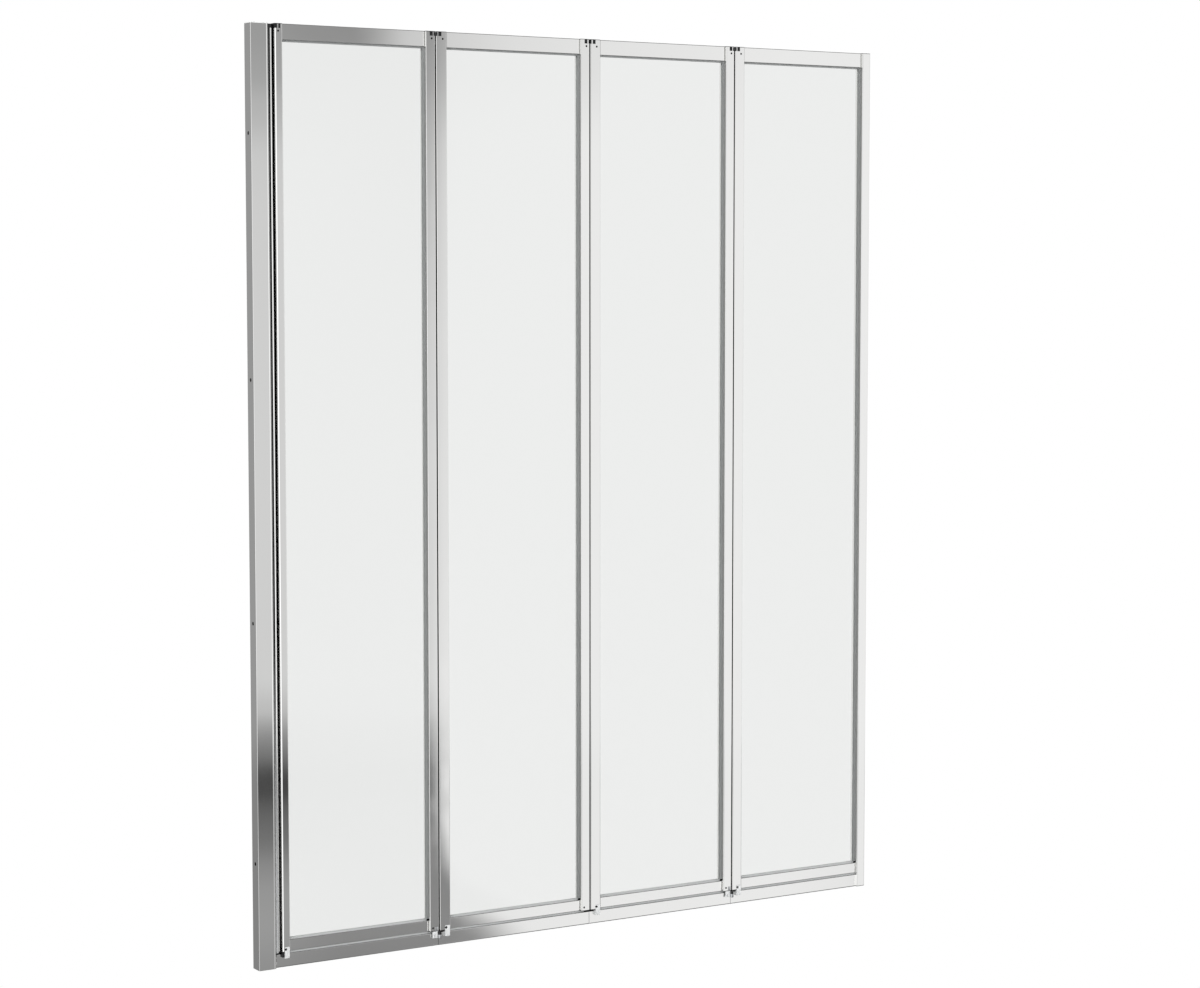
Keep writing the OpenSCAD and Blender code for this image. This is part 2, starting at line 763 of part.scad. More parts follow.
// An eye on the hinge's axis, with the arm that joins it to the plate
module leaf_eye(z, h, bore) {
    translate([0, -pin_y, z]) difference() {
        union() {
            cylinder(r = eye_r, h = h);
            translate([part_gap, 0, 0])
                cube([eye_r - 2 * part_gap, pin_y - half_d + block_setback + hair, h]);
        }
        translate([0, 0, -hair]) cylinder(r = bore, h = h + 2 * hair);
    }
}

module leaf(z, h, bore) {
    leaf_eye(z, h, bore);
    leaf_plate(z, h, -1, 0);
}

// The leaf under a panel; the lower eye hangs from a slotted flange beside the other eye
module hanging_leaf(bore) {
    leaf_plate(frame_z - arm_t, arm_t, 1, 0);
    leaf_eye(lower_eye_z, lower_eye_h, bore);
    translate([0, -half_d, lower_eye_z]) difference() {
        union() {
            translate([rib_x, 0, 0])
                cube([flange_end - rib_x, block_setback + hair, frame_z - lower_eye_z]);
            translate([rib_x, -flange_lap_t, 0])
                cube([flange_slot_x - rib_x, flange_lap_t, frame_z + flange_lap_h - lower_eye_z]);
            translate([eye_r / 2, 0, 0]) cube([rib_x, block_setback, lower_eye_h]);
        }
        translate([flange_slot_x, -hair, -hair])
            cube([flange_slot_w, profile_d, lower_eye_h]);
        translate([0, half_d - pin_y, -hair]) cylinder(r = bore, h = lower_eye_h + 2 * hair);
    }
}

module at_hinge(h, right_panel) {
    translate([hinge_x(h), 0, 0])
        mirror([right_panel ? 0 : 1, 0, 0])
            mirror([0, fold_side(h) > 0 ? 1 : 0, 0])
                children();
}

module left_leaves(h) {
    color(steel) at_hinge(h, false) {
        leaf(upper_top - upper_eye_h, upper_eye_h, pin_r);
        hanging_leaf(pin_r);
    }
}

module right_leaves(h) {
    bore = pin_r + pin_fit;
    color(steel) at_hinge(h, true) {
        leaf(upper_low, upper_eye_h, bore);
        leaf_plate(frame_z - arm_t, arm_t, 1, 0);
        leaf_eye(lower_top - lower_eye_h, lower_eye_h, bore);
    }
}

module pins(h) {
    color(steel) at_hinge(h, true) translate([0, -pin_y, 0]) {
        translate([0, 0, upper_low]) cylinder(r = pin_r, h = upper_top - upper_low + hair);
        translate([0, 0, upper_top]) cylinder(r = pin_head_r, h = pin_head_t);
        translate([0, 0, lower_eye_z - hair])
            cylinder(r = pin_r, h = lower_top - lower_eye_z + hair);
        translate([0, 0, lower_eye_z - pin_head_t]) cylinder(r = pin_head_r, h = pin_head_t);
    }
}

// ---- the assembly ----

wall_profile();
wall_profile_cap();
adjusting_screws();
expander_profile();
expander_hinge_blocks();
wall_hinge_pins();
wall_gap_seal();
for (k = [1 : panels]) {
    stile(k, false);
    stile(k, true);
    rail(k, false);
    rail(k, true);
    glass(k);
    glazing_gasket(k);
    end_caps(k);
    screws(k);
    drip_rail(k);
    seals(k);
    drip_clip(k);
}
for (h = [1 : panels - 1]) {
    left_leaves(h);
    right_leaves(h);
    pins(h);
}
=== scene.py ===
"""Dresses the folding bath screen: its finishes, its small pieces, the studio and the camera."""

import logging
import math
from dataclasses import dataclass, field
from enum import Enum
from typing import Any, Iterable

import bpy
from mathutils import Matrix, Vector


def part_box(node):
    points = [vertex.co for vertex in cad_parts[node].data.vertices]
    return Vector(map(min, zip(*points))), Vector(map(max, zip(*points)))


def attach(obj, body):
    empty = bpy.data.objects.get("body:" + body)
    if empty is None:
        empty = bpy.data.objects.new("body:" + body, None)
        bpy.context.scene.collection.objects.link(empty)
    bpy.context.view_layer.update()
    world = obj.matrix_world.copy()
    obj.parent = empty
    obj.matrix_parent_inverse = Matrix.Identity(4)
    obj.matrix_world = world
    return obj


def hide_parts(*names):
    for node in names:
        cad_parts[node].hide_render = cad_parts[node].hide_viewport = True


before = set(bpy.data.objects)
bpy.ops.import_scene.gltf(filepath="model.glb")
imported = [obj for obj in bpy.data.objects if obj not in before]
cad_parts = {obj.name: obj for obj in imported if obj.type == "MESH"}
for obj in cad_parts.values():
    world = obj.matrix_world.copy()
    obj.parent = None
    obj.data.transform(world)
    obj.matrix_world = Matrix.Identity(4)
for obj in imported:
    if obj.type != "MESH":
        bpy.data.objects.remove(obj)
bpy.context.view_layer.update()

LOG = logging.getLogger("bath_screen")
PANELS = (1, 2, 3, 4)
# Hinge h joins panel h to panel h + 1
HINGES = (1, 2, 3)
MM = 0.001
# Faces that meet at less than this angle are shaded as one, in radians
SMOOTH_ANGLE = math.radians(40)
WHITE = (1.0, 1.0, 1.0, 1.0)
# How far a cutting solid reaches past what it cuts
OVER = MM
Socket = bpy.types.NodeSocket
Span = tuple[float, float]
Ends = tuple[float | Socket, float | Socket]
Stops = tuple[Span, ...]


# ---- finishes ----


class Run(Enum):
    """Which way the die lines run on an extruded profile."""

    UPRIGHT = (1.0, 1.0, 0.01)
    LEVEL = (0.01, 1.0, 1.0)


def linear(hex_colour: str) -> tuple[float, float, float, float]:
    """Turns an sRGB hex colour into a linear one.

    Args:
        hex_colour: The colour as "#rrggbb".

    Returns:
        The linear red, green and blue, and an alpha of 1.
    """
    channels = [int(hex_colour[i:i + 2], 16) / 255 for i in (1, 3, 5)]
    red, green, blue = (c / 12.92 if c <= 0.04045 else ((c + 0.055) / 1.055) ** 2.4 for c in channels)
    return red, green, blue, 1.0


def add_node(tree: bpy.types.NodeTree, kind: str, inputs: dict[Any, Any] | None = None,
             **settings: Any) -> bpy.types.Node:
    """Adds a node with its settings, its values and its links.

    Args:
        tree: The node tree that gets the node.
        kind: The node's type, without the ShaderNode prefix.
        inputs: Values or output sockets for the node's inputs, by name or number.
        settings: The node's own properties.

    Returns:
        The new node.
    """
    node = tree.nodes.new("ShaderNode" + kind)
    for name, value in settings.items():
        setattr(node, name, value)
    for name, value in (inputs or {}).items():
        if isinstance(value, Socket):
            tree.links.new(value, node.inputs[name])
        else:
            node.inputs[name].default_value = value
    return node


def new_material(name: str) -> tuple[bpy.types.Material, bpy.types.NodeTree]:
    """Makes an empty node material.

    Args:
        name: The material's name.

    Returns:
        The material and its node tree.
    """
    material = bpy.data.materials.new(name)
    material.use_nodes = True
    material.node_tree.nodes.clear()
    return material, material.node_tree


def calculate(tree: bpy.types.NodeTree, operation: str, *values: float | Socket) -> Socket:
    """Adds one sum of the Math node's kind."""
    return add_node(tree, "Math", dict(enumerate(values)), operation=operation).outputs[0]


def map_range(tree: bpy.types.NodeTree, value: Socket, source: Ends, target: Span = (0.0, 1.0),
              kind: str = "LINEAR") -> Socket:
    """Maps a value from one range onto another, and holds it at the ends.

    Args:
        tree: The node tree.
        value: The value.
        source: The value's range, whose ends are numbers or sockets.
        target: What the two ends become.
        kind: How it goes from end to end, LINEAR or SMOOTHSTEP.

    Returns:
        The mapped value.
    """
    inputs = dict(enumerate((value, *source, *target)))
    return add_node(tree, "MapRange", inputs, interpolation_type=kind).outputs[0]


def mix(tree: bpy.types.NodeTree, share: Socket, first: Any, second: Any) -> Socket:
    """Mixes two colours, which are values or sockets; share is that of the second."""
    return add_node(tree, "Mix", {0: share, 6: first, 7: second}, data_type="RGBA").outputs[2]


def object_place(tree: bpy.types.NodeTree) -> Socket:
    """Adds the place on the object, in metres from its origin."""
    return add_node(tree, "TexCoord").outputs["Object"]


def object_pattern(tree: bpy.types.NodeTree, size: float,
                   stretch: tuple[float, float, float] = (1.0, 1.0, 1.0), detail: float = 2.0) -> Socket:
    """Adds a noise on Object coordinates.

    Args:
        tree: The node tree that gets the noise.
        size: The width of one grain of the noise, in metres.
        stretch: How the coordinates are scaled on each axis, below 1 where the grain runs long.
        detail: The noise's octaves.

    Returns:
        The noise's output, from 0 to 1.
    """
    mapped = add_node(tree, "Mapping", {"Vector": object_place(tree), "Scale": stretch}).outputs["Vector"]
    return add_node(tree, "TexNoise", {"Vector": mapped, "Scale": 1 / size, "Detail": detail}).outputs[0]


def finish_tree(tree: bpy.types.NodeTree, shader: bpy.types.Node) -> None:
    """Links a shader to the tree's output."""
    add_node(tree, "OutputMaterial", {"Surface": shader.outputs[0]})


@dataclass(frozen=True)
class PolishedProfile:
    """Extruded aluminium, polished and bright anodised: a mirror with faint lines from the die."""

    name: str = "polished_anodised_aluminium"
    colour: str = "#e9e9e8"
    roughness: Span = (0.02, 0.045)
    haze_size: float = 60 * MM
    haze_range: Span = (0.3, 0.7)
    line_size: float = 0.8 * MM
    line_height: float = 0.0005 * MM

    def material(self, run: Run, lean: float = 0.0) -> bpy.types.Material:
        """Builds the finish for profiles whose lines run one way.

        Args:
            run: The way that the profile was extruded.
            lean: How far the polished faces are out of true, in degrees towards +X.

        Returns:
            The material.
        """
        material, tree = new_material(f"{self.name}_{run.name.lower()}")
        haze = object_pattern(tree, self.haze_size)
        roughness = map_range(tree, haze, self.haze_range, self.roughness)
        lines = object_pattern(tree, self.line_size, run.value, 1.0)
        true_face = add_node(tree, "NewGeometry").outputs["Normal"]
        tilt = (math.radians(lean), 0.0, 0.0)
        face = add_node(tree, "VectorMath", {0: true_face, 1: tilt}, operation="ADD")
        relief = add_node(tree, "Bump", {
            "Height": lines, "Strength": 1.0, "Distance": self.line_height, "Normal": face.outputs[0]})
        shader = add_node(tree, "BsdfPrincipled", {
            "Base Color": linear(self.colour), "Metallic": 1.0, "Roughness": roughness,
            "Normal": relief.outputs[0]})
        finish_tree(tree, shader)
        return material


@dataclass(frozen=True)
class Grained:
    """A plain surface with a fine grain in its relief and a slight change of tone."""

    name: str
    colour: str
    shade: str
    roughness: float
    grain: float
    height: float
    metallic: float = 0.0
    relief_strength: float = 0.6
    grains_per_patch: int = 12

    def material(self) -> bpy.types.Material:
        """Builds the finish.

        Returns:
            The material.
        """
        material, tree = new_material(self.name)
        tone = object_pattern(tree, self.grains_per_patch * self.grain)
        colour = mix(tree, tone, linear(self.colour), linear(self.shade))
        grain = object_pattern(tree, self.grain, detail=3.0)
        relief = add_node(tree, "Bump", {
            "Height": grain, "Strength": self.relief_strength, "Distance": self.height})
        shader = add_node(tree, "BsdfPrincipled", {
            "Base Color": colour, "Metallic": self.metallic, "Roughness": self.roughness,
            "Normal": relief.outputs[0]})
        finish_tree(tree, shader)
        return material


@dataclass(frozen=True)
class GlazingVinylWithPaintedShade:
    """Soft extruded PVC with painted shade: its front lips painted grey, paler along the sill, and its back
    lips milky near-white, the vinyl's own colour brightened by painted light.
    """

    sill_top: float
    name: str = "soft_vinyl_with_painted_shade_and_light"
    # front: grey, painted shade on the front lips; sill: a lighter painted shade along the sill; back: milky
    # near-white with painted light
    front: str = "#a0a2a2"
    sill: str = "#d6d8d8"
    back: str = "#f7f8f7"
    fade: float = 0.4 * MM
    roughness: float = 0.5

    def material(self) -> bpy.types.Material:
        """Builds the finish.

        Returns:
            The material.
        """
        material, tree = new_material(self.name)
        depth, height = add_node(tree, "SeparateXYZ", {0: object_place(tree)}).outputs[1:]
        # Painted shade on the front lips, lighter along the sill; the back lips milky with painted light
        above = map_range(tree, height, (self.sill_top, self.sill_top + self.fade))
        behind = map_range(tree, depth, (-self.fade, self.fade))
        lips = mix(tree, above, linear(self.sill), linear(self.front))
        colour = mix(tree, behind, lips, linear(self.back))
        finish_tree(tree, add_node(tree, "BsdfPrincipled", {
            "Base Color": colour, "Roughness": self.roughness}))
        return material


@dataclass(frozen=True)
class RubberWithPaintedReflection:
    """Soft black EPDM with a painted pale reflection, which grows from mid-height towards the bottom."""

    name: str = "black_rubber_with_painted_reflection"
    own_black: str = "#121313"
    # A painted reflection: the pale grey that the seal's lower part shows in place of mirrored light
    painted_reflection: str = "#bcbdbd"
    # Where the painted reflection starts, and where it is full, in metres of height
    reflection_start: float = 490 * MM
    reflection_full: float = 140 * MM
    patch_size: float = 25 * MM
    roughness: float = 0.75

    def material(self) -> bpy.types.Material:
        """Builds the finish.

        Returns:
            The material.
        """
        material, tree = new_material(self.name)
        height = add_node(tree, "SeparateXYZ", {0: object_place(tree)}).outputs["Z"]
        patches = object_pattern(tree, self.patch_size)
        uneven = calculate(tree, "MULTIPLY_ADD", patches, self.patch_size, height)
        # Painted reflection: none high up, full near the bottom, with an uneven edge
        reflection_share = map_range(tree, uneven, (self.reflection_start, self.reflection_full))
        colour = mix(tree, reflection_share, linear(self.own_black), linear(self.painted_reflection))
        finish_tree(tree, add_node(tree, "BsdfPrincipled", {
            "Base Color": colour, "Roughness": self.roughness}))
        return material


@dataclass(frozen=True)
class ClearGlass:
    """Toughened float glass: clear, with the faint roller wave that toughening leaves."""

    name: str = "toughened_float_glass"
    colour: str = "#eff0ef"
    wave_size: float = 260 * MM
    wave_stretch: tuple[float, float, float] = (1.0, 1.0, 0.6)
    wave_height: float = 0.02 * MM

    def material(self) -> bpy.types.Material:
        """Builds the finish; its shadow is that of clear glass, not of a solid.

        Returns:
            The material.
        """
        material, tree = new_material(self.name)
        wave = object_pattern(tree, self.wave_size, self.wave_stretch, 0.0)
        relief = add_node(tree, "Bump", {"Height": wave, "Strength": 1.0, "Distance": self.wave_height})
        shader = add_node(tree, "BsdfPrincipled", {
            "Base Color": linear(self.colour), "Roughness": 0.0, "IOR": 1.5, "Transmission Weight": 1.0,
            "Normal": relief.outputs[0]})
        clear = add_node(tree, "BsdfTransparent", {"Color": linear(self.colour)})
        is_shadow = add_node(tree, "LightPath").outputs["Is Shadow Ray"]
        finish_tree(tree, add_node(tree, "MixShader", {
            0: is_shadow, 1: shader.outputs[0], 2: clear.outputs[0]}))
        return material


@dataclass
class Finishes:
    """Every finish of the screen, built once."""

    upright: bpy.types.Material = field(init=False)
    level: bpy.types.Material = field(init=False)
    glass: bpy.types.Material = field(init=False)
    vinyl: bpy.types.Material = field(init=False)
    groove_painted_light_vinyl: bpy.types.Material = field(init=False)
    white_plastic: bpy.types.Material = field(init=False)
    nylon: bpy.types.Material = field(init=False)
    rubber: bpy.types.Material = field(init=False)
    rubber_painted_reflection: bpy.types.Material = field(init=False)
    steel: bpy.types.Material = field(init=False)
    black_steel: bpy.types.Material = field(init=False)
    lacquer: bpy.types.Material = field(init=False)
    # How far the rails' polished faces are out of true, in degrees
    rail_lean: float = 0.65
    # How far the gasket's lips rise above the bottom rail, and how high their lighter painted shade along
    # the sill goes
    lip_rise: float = 3 * MM

    def __post_init__(self) -> None:
        """Builds the materials."""
        profile = PolishedProfile()
        self.upright = profile.material(Run.UPRIGHT)
        self.level = profile.material(Run.LEVEL, self.rail_lean)
        self.glass = ClearGlass().material()
        # Soft extruded PVC round the panes, whose lips rise over the sill, with painted shade on its front
        # lips and painted light on its back lips
        sill_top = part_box("panel1_bottom_rail")[1][2]
        self.vinyl = GlazingVinylWithPaintedShade(sill_top + self.lip_rise).material()
        # The same vinyl in pale grey, as a filler strip; its grey is painted shade and highlight that stand
        # in for the open groove
        self.groove_painted_light_vinyl = Grained("groove_vinyl_painted_light_and_shade", "#bfc1c1", "#b9bbbb",
                                  roughness=0.6, grain=0.4 * MM, height=0.01 * MM).material()
        # The moulded lid of the wall profile
        self.white_plastic = Grained("moulded_white_plastic", "#f6f7f6", "#f0f1f0",
                                     roughness=0.5, grain=0.4 * MM, height=0.004 * MM).material()
        # Glass-filled nylon from a mould: dull black with a fine grain
        self.nylon = Grained("moulded_black_nylon", "#1b1c1d", "#232425",
                             roughness=0.5, grain=0.35 * MM, height=0.02 * MM).material()
        # Soft EPDM: the dullest black
        self.rubber = Grained("soft_black_rubber", "#121313", "#161717",
                              roughness=0.75, grain=0.3 * MM, height=0.003 * MM).material()
        # Black rubber with a painted reflection that grows paler towards the bottom
        self.rubber_painted_reflection = RubberWithPaintedReflection().material()
        # Plain turned stainless steel
        self.steel = Grained("turned_stainless_steel", "#c4c6c8", "#b8babc",
                             roughness=0.28, grain=0.3 * MM, height=0.005 * MM, metallic=1.0).material()
        # Screws with a black oxide skin
        self.black_steel = Grained("black_oxide_steel", "#0e0f10", "#141516",
                                   roughness=0.5, grain=0.3 * MM, height=0.005 * MM).material()
        # Zinc casting under a pale lacquer, lighter than the mirror of the profiles beside it
        self.lacquer = Grained("pale_lacquered_zinc", "#f4f5f5", "#eceeee",
                               roughness=0.35, grain=0.5 * MM, height=0.004 * MM, metallic=0.15).material()


def dress(names: Iterable[str], material: bpy.types.Material) -> None:
    """Gives CAD nodes a finish.

    Args:
        names: The nodes' names.
        material: The finish.
    """
    for name in names:
        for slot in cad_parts[name].material_slots:
            slot.material = material


# ---- modelling ----


def deselect() -> None:
    """Leaves nothing selected."""
    bpy.ops.object.select_all(action="DESELECT")


def only(piece: bpy.types.Object) -> None:
    """Selects one piece and makes it active."""
    deselect()
    piece.select_set(True)
    bpy.context.view_layer.objects.active = piece


def corners(node: str) -> tuple[Vector, Vector]:
    """Finds the lowest and the highest corner of a CAD node's box."""
    low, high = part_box(node)
    return Vector(low), Vector(high)


def block(name: str, x: Span, y: Span, z: Span) -> bpy.types.Object:
    """Adds a block.

    Args:
        name: The new object's name.
        x: Where it starts and ends from left to right, in metres.
        y: Where it starts and ends from front to back.
        z: Where it starts and ends from low to high.

    Returns:
        The block, with its place in its mesh.
    """
    low, high = (Vector(corner) for corner in zip(x, y, z))
    deselect()
    bpy.ops.mesh.primitive_cube_add(size=1, location=(low + high) / 2, scale=high - low)
    piece = bpy.context.object
    piece.name = name
    bpy.ops.object.transform_apply(location=True, rotation=True, scale=True)
    return piece


def round_bar(name: str, foot: Vector, radius: float, height: float,
              lying: bool = False) -> bpy.types.Object:
    """Adds a round bar.

    Args:
        name: The new object's name.
        foot: The middle of its lower end, or of its front end when it lies.
        radius: Its radius.
        height: Its length.
        lying: Whether it lies from front to back, and doesn't stand.

    Returns:
        The bar, with its place in its mesh.
    """
    deselect()
    run = Vector((0, height / 2, 0)) if lying else Vector((0, 0, height / 2))
    turn = (math.radians(90) if lying else 0, 0, 0)
    bpy.ops.mesh.primitive_cylinder_add(
        vertices=48, radius=radius, depth=height, location=foot + run, rotation=turn)
    piece = bpy.context.object
    piece.name = name
    bpy.ops.object.transform_apply(location=True, rotation=True, scale=True)
    return piece


def combine(piece: bpy.types.Object, others: Iterable[bpy.types.Object],
            operation: str) -> bpy.types.Object:
    """Joins solids to a piece, or cuts them out of it, and removes them.

    Args:
        piece: The solid that is changed.
        others: The solids that are joined or cut out.
        operation: UNION or DIFFERENCE.

    Returns:
        The changed piece.
    """
    for other in others:
        only(piece)
        modifier = piece.modifiers.new("combine", "BOOLEAN")
        modifier.operation = operation
        modifier.solver = "EXACT"
        modifier.object = other
        bpy.ops.object.modifier_apply(modifier=modifier.name)
        bpy.data.objects.remove(other)
    return piece


def soften(piece: bpy.types.Object, radius: float) -> bpy.types.Object:
    """Rounds a piece's edges and shades it smooth.

    Args:
        piece: The piece.
        radius: The radius of the rounding, in metres.

    Returns:
        The same piece.
    """
    only(piece)
    modifier = piece.modifiers.new("rounding", "BEVEL")
    modifier.width = radius
    modifier.segments = 3
    modifier.limit_method = "ANGLE"
    modifier.angle_limit = SMOOTH_ANGLE
    bpy.ops.object.modifier_apply(modifier=modifier.name)
    bpy.ops.object.shade_smooth_by_angle(angle=SMOOTH_ANGLE)
    return piece


def placed_copy(piece: bpy.types.Object, name: str, shift: Vector,
                flip_x: bool, flip_y: bool) -> bpy.types.Object:
    """Copies a piece that was modelled round the origin and puts the copy in its place.

    Args:
        piece: The pattern piece.
        name: The copy's name.
        shift: How far the copy moves.
        flip_x: Whether the copy is mirrored left to right.
        flip_y: Whether the copy is mirrored front to back.

    Returns:
        The copy, with its own mesh.
    """
    only(piece)
    bpy.ops.object.duplicate()
    copy = bpy.context.object
    copy.name = name
    copy.scale = (-1 if flip_x else 1, -1 if flip_y else 1, 1)
    copy.location = shift
    bpy.ops.object.transform_apply(location=True, rotation=True, scale=True)
    if flip_x != flip_y:
        bpy.ops.object.mode_set(mode="EDIT")
        bpy.ops.mesh.select_all(action="SELECT")
        bpy.ops.mesh.normals_make_consistent(inside=False)
        bpy.ops.object.mode_set(mode="OBJECT")
    return copy


def join(pieces: list[bpy.types.Object], name: str) -> bpy.types.Object:
    """Joins pieces into one object, each with its own finish.

    Args:
        pieces: The pieces.
        name: The joined object's name.

    Returns:
        The joined object.
    """
    only(pieces[0])
    for piece in pieces[1:]:
        piece.select_set(True)
    bpy.ops.object.join()
    pieces[0].name = name
    return pieces[0]


def settle(piece: bpy.types.Object, body: str, slot: str, *nodes: str) -> None:
    """Makes a finished piece part of the screen.

    Args:
        piece: The piece.
        body: The CAD body that it rides on.
        slot: The record's material slot; not used.
        nodes: The CAD nodes that it stands for.
    """
    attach(piece, body)
    if nodes:
        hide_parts(*nodes)
    LOG.info("%s rides on %s", piece.name, body)


# ---- the screen ----


@dataclass
class Profiles:
    """The extruded profiles, the glass and the soft pieces, which keep their CAD shapes."""

    finishes: Finishes

    def dress(self) -> None:
        """Gives every carried-over node its finish."""
        f = self.finishes
        dress(["wall_profile", "expander_profile"], f.upright)
        dress(["wall_profile_cap"], f.white_plastic)
        dress(["adjusting_screws"], f.steel)
        dress(["expander_hinge_blocks"], f.nylon)
        dress(["wall_hinge_pins"], f.steel)
        dress(["wall_gap_seal"], f.rubber_painted_reflection)
        for k in PANELS:
            dress([f"panel{k}_left_stile", f"panel{k}_right_stile"], f.upright)
            dress([f"panel{k}_top_rail", f"panel{k}_bottom_rail", f"panel{k}_drip_rail"], f.level)
            dress([f"panel{k}_glass"], f.glass)
            dress([f"panel{k}_glazing_gasket"], f.vinyl)
            dress([f"panel{k}_end_caps"], f.nylon)
            dress([f"panel{k}_screws"], f.black_steel)
            dress([f"panel{k}_seals"], f.rubber)
        LOG.info("dressed the carried-over profiles of %d panels", len(PANELS))


@dataclass
class DripClips:
    """The cast clips that grip each left stile and the drip rail below it."""

    finishes: Finishes
    stile_depth: float = 22 * MM
    rail_depth: float = 14 * MM
    rail_lap: float = 6.9 * MM
    web_gap: float = 0.4 * MM
    first_back: float = 4 * MM
    screw_inset: float = 1.7 * MM
    screw_height: float = 13.75 * MM
    cap_radius: float = 1.9 * MM
    cap_thickness: float = 0.33 * MM
    cap_play: float = 0.05 * MM
    rounding: float = 0.45 * MM

    def cast(self, k: int, low: Vector, high: Vector, back_edge: float) -> bpy.types.Object:
        """Models a clip from a solid block, without its screw holes.

        Args:
            k: The panel's number.
            low: The lowest corner of the clip.
            high: The highest corner of the clip.
            back_edge: Where its back tab starts, which is further in on the panel beside the wall.

        Returns:
            The clip.
        """
        clip = block(f"panel{k}_cast_clip", *zip(low, high))
        across = (low.x - OVER, high.x + OVER)
        web_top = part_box(f"panel{k}_bottom_rail")[0][2] - self.web_gap
        half_stile, half_rail = self.stile_depth / 2, self.rail_depth / 2
        spaces = [
            block("stile_space", across, (-half_stile, half_stile), (web_top, high.z + OVER)),
            block("rail_space", across, (-half_rail, half_rail), (low.z - OVER, low.z + self.rail_lap)),
        ]
        if back_edge > low.x:
            spaces.append(block("hinge_space", (low.x - OVER, back_edge), (0, high.y + OVER),
                                (low.z - OVER, high.z + OVER)))
        return soften(combine(clip, spaces, "DIFFERENCE"), self.rounding)

    def screw_cap(self, clip: bpy.types.Object, edge: float, low: Vector, high: Vector,
                  front: bool) -> bpy.types.Object:
        """Drills a screw hole through one tab of a clip and models the cap in it.

        Args:
            clip: The clip, which is drilled.
            edge: Where the tab starts.
            low: The lowest corner of the clip.
            high: The highest corner of the clip.
            front: Whether it is the tab in front.

        Returns:
            The cap.
        """
        tab = self.stile_depth / 2 - OVER
        reach = high.y - tab + OVER
        start = -tab - reach if front else tab
        hole = Vector((edge + self.screw_inset, start, low.z + self.screw_height))
        drill = round_bar("drill", hole, self.cap_radius + self.cap_play, reach, lying=True)
        combine(clip, [drill], "DIFFERENCE")
        foot = low.y + self.cap_play if front else high.y - self.cap_play - self.cap_thickness
        cap = round_bar("cap", Vector((hole.x, foot, hole.z)), self.cap_radius, self.cap_thickness,
                        lying=True)
        return soften(cap, self.cap_thickness / 3)

    def build(self) -> None:
        """Models the clip of every panel and the caps on its screws."""
        for k in PANELS:
            node = f"panel{k}_drip_clip"
            low, high = corners(node)
            back_edge = low.x + (self.first_back if k == 1 else 0)
            clip = self.cast(k, low, high, back_edge)
            tabs = ((low.x, True), (back_edge, False))
            caps = join([self.screw_cap(clip, edge, low, high, front) for edge, front in tabs],
                        f"panel{k}_screw_caps")
            caps.data.materials.append(self.finishes.nylon)
            settle(caps, f"panel{k}", "black_nylon")
            only(clip)
            bpy.ops.object.shade_smooth_by_angle(angle=SMOOTH_ANGLE)
            clip.data.materials.append(self.finishes.lacquer)
            settle(clip, f"panel{k}", "chrome_profile", node)


